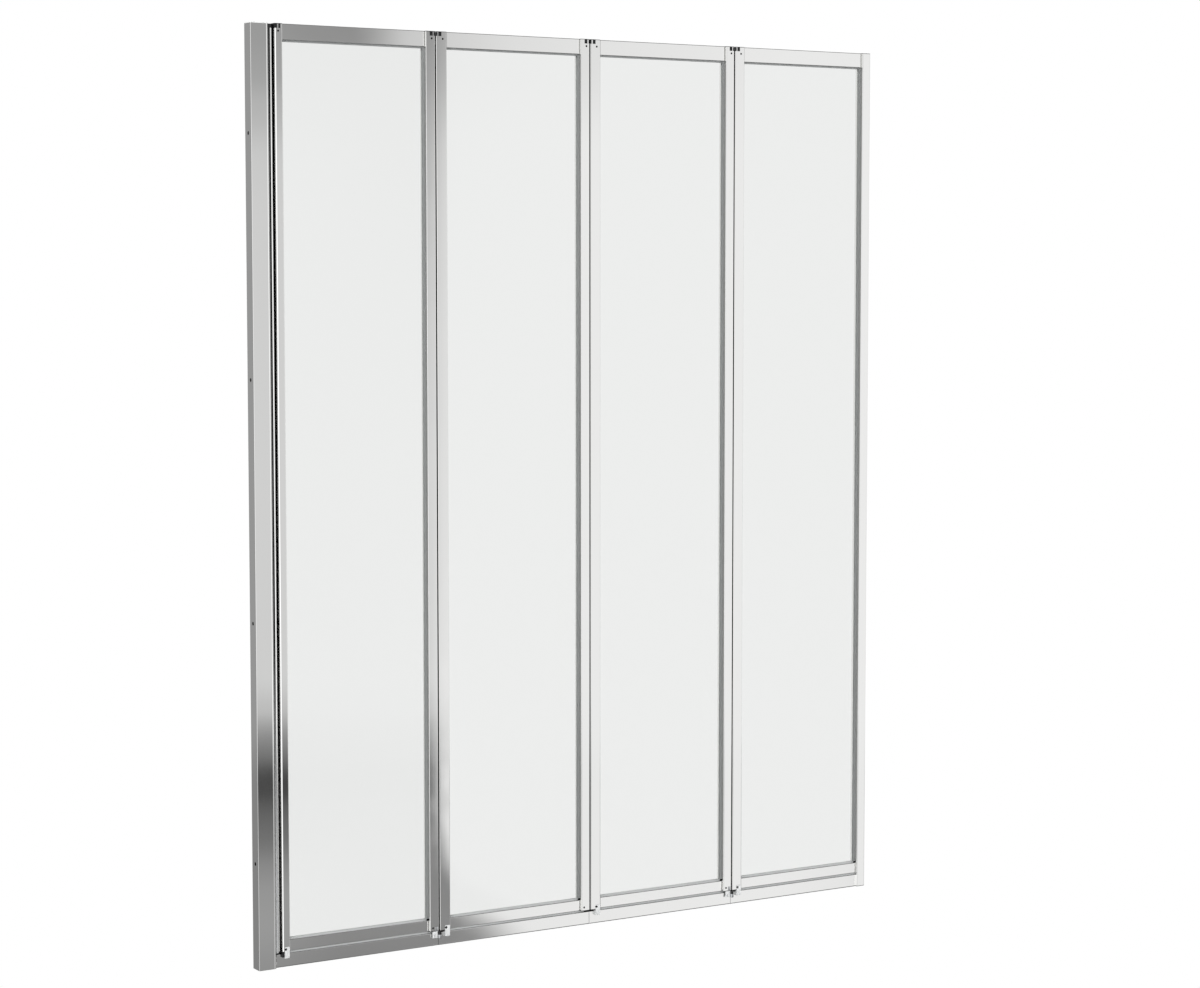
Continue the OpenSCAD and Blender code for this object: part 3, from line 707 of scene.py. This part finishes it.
@dataclass
class HingeLeaves:
    """The leaves and pins of the hinges between panels: black, with bright metal at the lower ends.

    The measures run from the hinge's line to the right, from mid-depth to the front and from the
    underside of the seals upwards. The left leaves and every other hinge are mirror images.
    """

    finishes: Finishes
    pin_y: float = 11.75 * MM
    pin_radius: float = 1.5 * MM
    eye_radius: float = 2.6 * MM
    bore_radius: float = 1.55 * MM
    gap: float = 0.2 * MM
    leaf_width: float = 9.2 * MM
    leaf_back: float = 4 * MM
    front: float = 8.95 * MM
    face: float = 11 * MM
    plate_height: float = 2.6 * MM
    flange_start: float = 2.8 * MM
    flange_end: float = 11.7 * MM
    slot_start: float = 7.4 * MM
    slot_end: float = 8.8 * MM
    lap: float = 0.6 * MM
    lap_rise: float = 7 * MM
    upper_low: float = 1393.4 * MM
    upper_eye: float = 2.3 * MM
    lower_low: float = 13.0 * MM
    lower_eye: float = 5.05 * MM
    plate_low: float = 20.9 * MM
    head_radius: float = 2.2 * MM
    head_height: float = 0.8 * MM
    head_rounding: float = 0.3 * MM
    rounding: float = 0.35 * MM

    def eye(self, low: float, height: float) -> list[bpy.types.Object]:
        """The solids of an eye and the arm behind it."""
        eye = round_bar("eye", Vector((0, -self.pin_y, low)), self.eye_radius, height)
        arm = block("arm", (self.gap, self.eye_radius - self.gap),
                    (-self.pin_y, -self.front + self.gap), (low, low + height))
        return [eye, arm]

    def bore(self, low: float, height: float) -> bpy.types.Object:
        """The solid that is cut out of an eye for the pin."""
        foot = Vector((0, -self.pin_y, low - OVER))
        return round_bar("bore", foot, self.bore_radius, height + 2 * OVER)

    def plate(self, low: float, height: float) -> bpy.types.Object:
        """The flat plate that lies in a stile's cap."""
        return block("plate", (self.gap, self.leaf_width), (-self.front, self.leaf_back),
                     (low, low + height))

    def upper_leaf(self, name: str, low: float) -> bpy.types.Object:
        """Models a leaf at the top of a stile.

        Args:
            name: The leaf's name.
            low: The height of its underside.

        Returns:
            The leaf, round the hinge's line at x = 0.
        """
        leaf = self.plate(low, self.upper_eye)
        combine(leaf, self.eye(low, self.upper_eye), "UNION")
        combine(leaf, [self.bore(low, self.upper_eye)], "DIFFERENCE")
        leaf.name = name
        leaf.data.materials.append(self.finishes.nylon)
        return soften(leaf, self.rounding)

    def flange(self, low: float) -> list[bpy.types.Object]:
        """Models the slotted flange that a hanging eye is tied to, and the lap on the stile above it.

        Args:
            low: The height of the flange's lower end.

        Returns:
            The flange and the lap.
        """
        top = self.plate_low + self.plate_height
        flange = block("flange", (self.flange_start, self.flange_end),
                       (-self.face, -self.front + self.gap), (low, top))
        slot = block("slot", (self.slot_start, self.slot_end),
                     (-self.face - OVER, 0), (low - OVER, low + self.lower_eye))
        combine(flange, [slot], "DIFFERENCE")
        flange.data.materials.append(self.finishes.lacquer)
        lap = block("lap", (self.flange_start, self.slot_start),
                    (-self.face - self.lap, -self.face), (top, top + self.lap_rise))
        lap.data.materials.append(self.finishes.steel)
        return [soften(flange, self.rounding), soften(lap, self.lap / 4)]

    def lower_leaf(self, name: str, hanging: bool) -> bpy.types.Object:
        """Models a leaf under a stile.

        Args:
            name: The leaf's name.
            hanging: Whether its eye hangs from a flange, below the other leaf's eye.

        Returns:
            The leaf, round the hinge's line at x = 0.
        """
        low = self.lower_low if hanging else self.lower_low + self.lower_eye + self.gap
        plate = soften(self.plate(self.plate_low, self.plate_height), self.rounding)
        plate.data.materials.append(self.finishes.nylon)
        eye, arm = self.eye(low, self.lower_eye)
        bearer = combine(eye, [arm], "UNION")
        parts = [plate, bearer]
        if hanging:
            tie = block("tie", (self.eye_radius / 2, self.flange_start + self.gap),
                        (-self.face, -self.front), (low, low + self.lower_eye))
            combine(bearer, [tie], "UNION")
            parts += self.flange(low)
        combine(bearer, [self.bore(low, self.lower_eye)], "DIFFERENCE")
        bearer.data.materials.append(self.finishes.steel if hanging else self.finishes.nylon)
        soften(bearer, self.rounding)
        return join(parts, name)

    def pin(self, name: str, low: float, high: float, head_up: bool) -> bpy.types.Object:
        """Models a pin with a domed head.

        Args:
            name: The pin's name.
            low: The height of the shank's lower end.
            high: The height of the shank's upper end.
            head_up: Whether the head is on top.

        Returns:
            The pin, round the hinge's line at x = 0.
        """
        shank = round_bar(name, Vector((0, -self.pin_y, low)), self.pin_radius, high - low)
        foot = high if head_up else low - self.head_height
        head = round_bar("head", Vector((0, -self.pin_y, foot)), self.head_radius, self.head_height)
        soften(head, self.head_rounding)
        combine(shank, [head], "UNION")
        shank.data.materials.append(self.finishes.steel)
        return shank

    def build(self) -> None:
        """Models one set of leaves and pins and copies it to every hinge."""
        upper_high = self.upper_low + 2 * self.upper_eye + self.gap
        plate_top = self.plate_low + self.plate_height - self.gap
        patterns = {
            "left": (self.upper_leaf("left_upper", upper_high - self.upper_eye),
                     self.lower_leaf("left_lower", True)),
            "right": (self.upper_leaf("right_upper", self.upper_low),
                      self.lower_leaf("right_lower", False)),
        }
        pins = (self.pin("upper_pin", self.upper_low, upper_high, True),
                self.pin("lower_pin", self.lower_low, plate_top, False))
        for h in HINGES:
            line = (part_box(f"panel{h}_right_stile")[1][0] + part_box(f"panel{h + 1}_left_stile")[0][0]) / 2
            shift = Vector((line, 0, 0))
            back = h % 2 == 0
            for side, pair in patterns.items():
                copies = [placed_copy(p, f"{p.name}_{h}", shift, side == "left", back) for p in pair]
                leaf = join(copies, f"hinge{h}_cast_{side}_leaves")
                body = f"panel{h}" if side == "left" else f"panel{h + 1}"
                settle(leaf, body, "steel_hardware", f"hinge{h}_{side}_leaves")
            copies = [placed_copy(p, f"{p.name}_{h}", shift, False, back) for p in pins]
            settle(join(copies, f"hinge{h}_domed_pins"), f"panel{h}", "steel_hardware", f"hinge{h}_pins")
        for pattern in [p for pair in patterns.values() for p in pair] + list(pins):
            bpy.data.objects.remove(pattern)


@dataclass
class GrooveStrips:
    """The pale strips that close the groove between each drip rail and the frame above it, whose grey is
    painted shade and highlight in place of the open groove.
    """

    finishes: Finishes
    depth: float = 12 * MM
    neck: float = 3.3 * MM
    rail_lap: float = 6.5 * MM
    leaf_width: float = 8.4 * MM
    play: float = 0.15 * MM
    rounding: float = 0.2 * MM

    def build(self) -> None:
        """Models a strip for every panel, forked round the drip rail's neck."""
        for k in PANELS:
            sill_low, sill_high = corners(f"panel{k}_bottom_rail")
            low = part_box(f"panel{k}_drip_clip")[0][2] + self.rail_lap + self.play
            high = sill_low.z - self.play
            end = sill_high.x
            if k < len(PANELS):
                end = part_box(f"panel{k}_right_stile")[1][0] - self.leaf_width
            strip = block(f"panel{k}_groove_strip", (sill_low.x, end),
                          (-self.depth / 2, self.depth / 2), (low, high))
            neck = block("neck_space", (sill_low.x - OVER, sill_high.x + self.play),
                         (-self.neck / 2, self.neck / 2), (low - OVER, high + OVER))
            soften(combine(strip, [neck], "DIFFERENCE"), self.rounding)
            # The strip's grey is painted shade and highlight for the groove
            strip.data.materials.append(self.finishes.groove_painted_light_vinyl)
            settle(strip, f"panel{k}", "black_rubber")


@dataclass
class CornerPlugs:
    """The little rubber plugs in the lower corner of each pane, which close the gasket's joint."""

    finishes: Finishes
    width: float = 2.4 * MM
    height: float = 2.6 * MM
    depth: float = 1.8 * MM
    gasket_face: float = 3.25 * MM
    rounding: float = 0.5 * MM

    def build(self) -> None:
        """Models a plug for every panel."""
        for k in PANELS:
            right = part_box(f"panel{k}_right_stile")[0][0]
            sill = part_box(f"panel{k}_bottom_rail")[1][2]
            plug = block(f"panel{k}_corner_plug", (right - self.width, right),
                         (-self.gasket_face - self.depth, -self.gasket_face), (sill, sill + self.height))
            soften(plug, self.rounding)
            plug.data.materials.append(self.finishes.rubber)
            settle(plug, f"panel{k}", "black_rubber")


# ---- the studio ----


@dataclass(frozen=True)
class Softbox:
    """A lamp: where it stands, how large it is and how bright."""

    name: str
    place: tuple[float, float, float]
    size: float
    power: float


@dataclass
class Studio:
    """A pale room whose walls the polished profiles mirror, three soft lamps and a pale floor."""

    floor_height: float = -0.6
    floor_size: float = 24.0
    floor_colour: str = "#f6f6f6"
    # Where the floor fades to white, in metres from the point below the aim, and how white it is there
    floor_fade: Span = (0.9, 1.9)
    floor_white: Span = (0.45, 1.0)
    aim: Vector = field(default_factory=lambda: Vector((0.56, 0.0, 0.7)))
    lamps: tuple[Softbox, ...] = (
        Softbox("key_softbox", (-2.6, -3.2, 3.0), 2.4, 100.0),
        Softbox("fill_softbox", (3.4, -2.6, 2.2), 2.4, 60.0),
        Softbox("back_softbox", (0.6, 3.6, 3.0), 2.4, 45.0),
    )
    # Grey of the room by bearing, in degrees from the front (0) by the right (90) to the back (180):
    # along the floor, at mid-height and towards the ceiling
    low_room: Stops = (
        (-180.0, 0.24), (-151.0, 0.27), (-145.0, 0.4), (-110.0, 0.6), (-80.0, 1.4), (-40.0, 1.4),
        (-20.0, 0.6), (28.0, 0.97), (37.0, 1.0), (43.0, 0.42), (74.0, 0.4), (84.0, 0.28),
        (108.0, 0.28), (122.0, 0.5), (168.0, 0.5), (180.0, 0.25),
    )
    middle_room: Stops = (
        (-180.0, 0.02), (-168.0, 0.05), (-161.0, 0.36), (-151.0, 0.36), (-145.0, 1.05), (-80.0, 1.4),
        (-40.0, 1.4), (-20.0, 1.0), (28.0, 0.97), (31.0, 1.0), (37.0, 1.01), (43.0, 1.2), (74.0, 1.2),
        (82.0, 0.02), (108.0, 0.02), (122.0, 0.55), (168.0, 0.6), (180.0, 0.02),
    )
    high_room: Stops = (
        (-180.0, 0.02), (-168.0, 0.05), (-161.0, 0.36), (-151.0, 0.36), (-145.0, 1.05), (-80.0, 1.4),
        (-40.0, 1.4), (-20.0, 0.9), (28.0, 0.68), (29.0, 0.71), (30.5, 0.88), (33.0, 0.94),
        (37.0, 1.0), (43.0, 0.95), (74.0, 0.9), (82.0, 0.02), (108.0, 0.02), (122.0, 0.55),
        (168.0, 0.6), (180.0, 0.02),
    )
    # The elevations between which one gives way to the next, in degrees
    low_to_middle: Span = (-10.5, -9.0)
    middle_to_high: Span = (2.5, 4.5)
    # Grey of the room's front by elevation, in degrees: straight ahead and at its right edge
    front: Stops = (
        (-30.0, 0.2), (-20.0, 0.25), (-14.2, 0.33), (-13.2, 0.39), (-12.5, 0.375), (-12.0, 0.31),
        (-11.5, 0.2), (-11.0, 0.16), (-10.4, 0.065), (-10.1, 0.09), (-9.8, 0.2), (-9.4, 0.32),
        (-8.8, 0.63), (-8.2, 0.75), (-4.0, 0.765), (1.2, 0.75), (2.3, 0.72), (3.4, 0.56),
        (4.1, 0.44), (4.9, 0.395), (12.0, 0.38), (30.0, 0.6),
    )
    front_edge: Stops = (
        (-30.0, 0.2), (-20.0, 0.24), (-14.2, 0.27), (-13.2, 0.30), (-12.2, 0.28), (-11.6, 0.25),
        (-11.0, 0.2), (-10.4, 0.1), (-10.1, 0.12), (-9.8, 0.22), (-9.4, 0.36), (-8.8, 0.68),
        (-8.2, 0.78), (-4.0, 0.78), (-1.8, 0.73), (0.9, 0.62), (2.3, 0.52), (3.3, 0.46),
        (4.1, 0.39), (4.9, 0.33), (12.0, 0.33), (30.0, 0.6),
    )
    # The bearings between which one gives way to the other, and those where the front begins
    front_bearings: Span = (25.0, 27.8)
    front_start: Span = (-22.0, -12.0)
    # Where the front ends at the white wall on the right, by elevation, in shares of edge_range
    edge: Stops = (
        (-13.6, 0.96), (-13.2, 0.89), (-12.7, 0.66), (-12.4, 0.52), (-12.1, 0.47), (-11.85, 0.451),
        (-11.3, 0.428), (-10.9, 0.416), (-8.0, 0.414), (-5.0, 0.436), (2.0, 0.44), (4.8, 0.47),
    )
    edge_range: Span = (26.0, 31.0)
    # How soft that edge is on each side, by elevation, in degrees
    softness: Stops = (
        (-13.2, 0.8), (-12.1, 0.27), (-11.3, 0.18), (-10.5, 0.15), (-8.0, 0.15), (-5.0, 0.38),
        (2.0, 0.5), (4.8, 0.6),
    )
    # The dim ceiling and ground that upward and downward edges mirror, and where each meets the walls
    ceiling: tuple[float, ...] = (0.06, 0.06, 0.06, 1.0)
    ceiling_start: Span = (20.0, 35.0)
    ground: tuple[float, ...] = (0.2, 0.2, 0.2, 1.0)
    ground_end: Span = (-40.0, -20.0)
    # How much of the room's light the profiles mirror where they face it through a pane
    behind_pane: float = 0.3

    def ramp(self, tree: bpy.types.NodeTree, angle: Socket, stops: Stops, kind: str = "EASE") -> Socket:
        """Turns an angle into a grey.

        Args:
            tree: The world's node tree.
            angle: The angle, in degrees.
            stops: Angles and greys, from low to high.
            kind: How the ramp goes from stop to stop.

        Returns:
            The grey.
        """
        first, last = stops[0][0], stops[-1][0]
        node = add_node(tree, "ValToRGB", {"Fac": map_range(tree, angle, (first, last))})
        node.color_ramp.interpolation = kind
        while len(node.color_ramp.elements) < len(stops):
            node.color_ramp.elements.new(0.5)
        for element, (stop, grey) in zip(node.color_ramp.elements, stops):
            element.position = (stop - first) / (last - first)
            element.color = (grey, grey, grey, 1.0)
        return node.outputs[0]

    def step(self, tree: bpy.types.NodeTree, angle: Socket, ends: Ends) -> Socket:
        """Rises smoothly from 0 at the first end to 1 at the second."""
        return map_range(tree, angle, ends, kind="SMOOTHSTEP")

    def walls(self, tree: bpy.types.NodeTree, bearing: Socket, elevation: Socket) -> Socket:
        """Works out the grey of the walls round the room.

        Args:
            tree: The world's node tree.
            bearing: The direction's bearing, in degrees.
            elevation: The direction's elevation, in degrees.

        Returns:
            The grey.
        """
        grey = self.ramp(tree, bearing, self.low_room)
        bands = ((self.low_to_middle, self.middle_room), (self.middle_to_high, self.high_room))
        for ends, room in bands:
            grey = mix(tree, self.step(tree, elevation, ends), grey, self.ramp(tree, bearing, room))
        return grey

    def front_mask(self, tree: bpy.types.NodeTree, bearing: Socket, elevation: Socket) -> Socket:
        """Works out where the room's front shows, whose right edge changes with the elevation.

        Args:
            tree: The world's node tree.
            bearing: The direction's bearing, in degrees.
            elevation: The direction's elevation, in degrees.

        Returns:
            The share of the front, from 0 to 1.
        """
        start, end = self.edge_range
        share = self.ramp(tree, elevation, self.edge, "LINEAR")
        middle = calculate(tree, "MULTIPLY_ADD", share, end - start, start)
        half = self.ramp(tree, elevation, self.softness, "LINEAR")
        ends = calculate(tree, "SUBTRACT", middle, half), calculate(tree, "ADD", middle, half)
        inside = calculate(tree, "SUBTRACT", 1.0, self.step(tree, bearing, ends))
        return calculate(tree, "MULTIPLY", self.step(tree, bearing, self.front_start), inside)

    def paint(self, tree: bpy.types.NodeTree) -> Socket:
        """Works out the room's grey for the direction that a profile mirrors.

        Args:
            tree: The world's node tree.

        Returns:
            The grey.
        """
        direction = add_node(tree, "TexCoord").outputs["Generated"]
        x, y, z = add_node(tree, "SeparateXYZ", {0: direction}).outputs
        turn = calculate(tree, "ARCTAN2", x, calculate(tree, "MULTIPLY", y, -1.0))
        bearing = calculate(tree, "DEGREES", turn)
        elevation = calculate(tree, "DEGREES", calculate(tree, "ARCSINE", z))
        front = mix(tree, self.step(tree, bearing, self.front_bearings),
                    self.ramp(tree, elevation, self.front), self.ramp(tree, elevation, self.front_edge))
        mask = self.front_mask(tree, bearing, elevation)
        room = mix(tree, mask, self.walls(tree, bearing, elevation), front)
        room = mix(tree, self.step(tree, elevation, self.ceiling_start), room, self.ceiling)
        return mix(tree, self.step(tree, elevation, self.ground_end), self.ground, room)

    def build_world(self) -> None:
        """Paints the room: white to the eye, and in greys to what mirrors it."""
        world = bpy.data.worlds.new("studio_room")
        bpy.context.scene.world = world
        world.use_nodes = True
        tree = world.node_tree
        tree.nodes.clear()
        path = add_node(tree, "LightPath").outputs
        # White to the eye, also through the panes and in the mirrors behind them,
        # but not to what the profiles in front mirror through them
        direct = calculate(tree, "LESS_THAN", path["Glossy Depth"], 0.5)
        through = calculate(tree, "MULTIPLY", path["Is Transmission Ray"], direct)
        past = calculate(tree, "GREATER_THAN", path["Transmission Depth"], 0.5)
        behind = calculate(tree, "MULTIPLY", path["Is Glossy Ray"], past)
        eye = calculate(tree, "MAXIMUM", path["Is Camera Ray"], through)
        seen = calculate(tree, "MAXIMUM", eye, behind)
        mirrored = calculate(tree, "SUBTRACT", path["Is Transmission Ray"], through)
        strength = calculate(tree, "MULTIPLY_ADD", mirrored, self.behind_pane - 1.0, 1.0)
        background = add_node(tree, "Background", {
            "Color": mix(tree, seen, self.paint(tree), WHITE), "Strength": strength})
        add_node(tree, "OutputWorld", {"Surface": background.outputs[0]})

    def floor_paint(self) -> bpy.types.Material:
        """Builds the floor's paint, which fades to a glowing white and which no profile mirrors.

        Returns:
            The material.
        """
        material, tree = new_material("painted_studio_floor")
        middle = (self.aim.x, self.aim.y, self.floor_height)
        away = add_node(tree, "VectorMath", {0: object_place(tree), 1: middle}, operation="DISTANCE")
        white = map_range(tree, away.outputs["Value"], self.floor_fade, self.floor_white, "SMOOTHSTEP")
        path = add_node(tree, "LightPath").outputs
        seen = calculate(tree, "MAXIMUM", path["Is Camera Ray"], path["Is Transmission Ray"])
        paint = add_node(tree, "BsdfDiffuse", {"Color": linear(self.floor_colour)})
        glow = add_node(tree, "Emission", {"Color": WHITE, "Strength": 1.0})
        lit = add_node(tree, "MixShader", {
            0: calculate(tree, "MULTIPLY", seen, white), 1: paint.outputs[0], 2: glow.outputs[0]})
        clear = add_node(tree, "BsdfTransparent", {"Color": WHITE})
        finish_tree(tree, add_node(tree, "MixShader", {
            0: path["Is Glossy Ray"], 1: lit.outputs[0], 2: clear.outputs[0]}))
        return material

    def build_floor(self) -> None:
        """Lays a pale floor that keeps the screen's shadow and fades to white further off."""
        deselect()
        bpy.ops.mesh.primitive_plane_add(size=1, location=(0, 0, self.floor_height))
        floor = bpy.context.object
        floor.name = "pale_floor"
        floor.scale = (self.floor_size, self.floor_size, 1)
        bpy.ops.object.transform_apply(location=True, rotation=True, scale=True)
        floor.data.materials.append(self.floor_paint())

    def build_lamps(self) -> None:
        """Hangs the soft lamps; neither the profiles nor the panes mirror them."""
        for box in self.lamps:
            lamp = bpy.data.lights.new(box.name, "AREA")
            lamp.shape = "SQUARE"
            lamp.size = box.size
            lamp.energy = box.power
            holder = bpy.data.objects.new(box.name, lamp)
            holder.location = box.place
            holder.rotation_euler = (self.aim - Vector(box.place)).to_track_quat("-Z", "Y").to_euler()
            holder.visible_glossy = False
            holder.visible_transmission = False
            bpy.context.scene.collection.objects.link(holder)

    def build(self) -> None:
        """Builds the room, the floor and the lamps."""
        self.build_world()
        self.build_floor()
        self.build_lamps()


@dataclass
class Viewpoint:
    """The camera that took the photograph, solved from the screen's straight edges."""

    # In metres, and then in degrees
    place: tuple[float, float, float] = (-1.6968, -3.7570, 1.0320)
    tilt: float = 85.530
    turn: float = -31.451
    # In millimetres
    lens: float = 83.593
    sensor_width: float = 36.0
    # How far it sees, in metres
    clip_end: float = 100.0

    def build(self) -> None:
        """Makes the camera and looks through it."""
        camera = bpy.data.cameras.new("camera")
        camera.sensor_fit = "HORIZONTAL"
        camera.sensor_width = self.sensor_width
        camera.lens = self.lens
        camera.clip_end = self.clip_end
        holder = bpy.data.objects.new("camera", camera)
        holder.location = self.place
        holder.rotation_euler = (math.radians(self.tilt), 0, math.radians(self.turn))
        bpy.context.scene.collection.objects.link(holder)
        bpy.context.scene.camera = holder


def main() -> None:
    """Builds the camera, the finishes, the pieces and the studio."""
    logging.basicConfig(level=logging.INFO, format="%(name)s: %(message)s")
    bpy.context.scene.view_settings.view_transform = "Standard"
    Viewpoint().build()
    finishes = Finishes()
    Profiles(finishes).dress()
    DripClips(finishes).build()
    HingeLeaves(finishes).build()
    GrooveStrips(finishes).build()
    CornerPlugs(finishes).build()
    Studio().build()


if __name__ == "__main__":
    main()
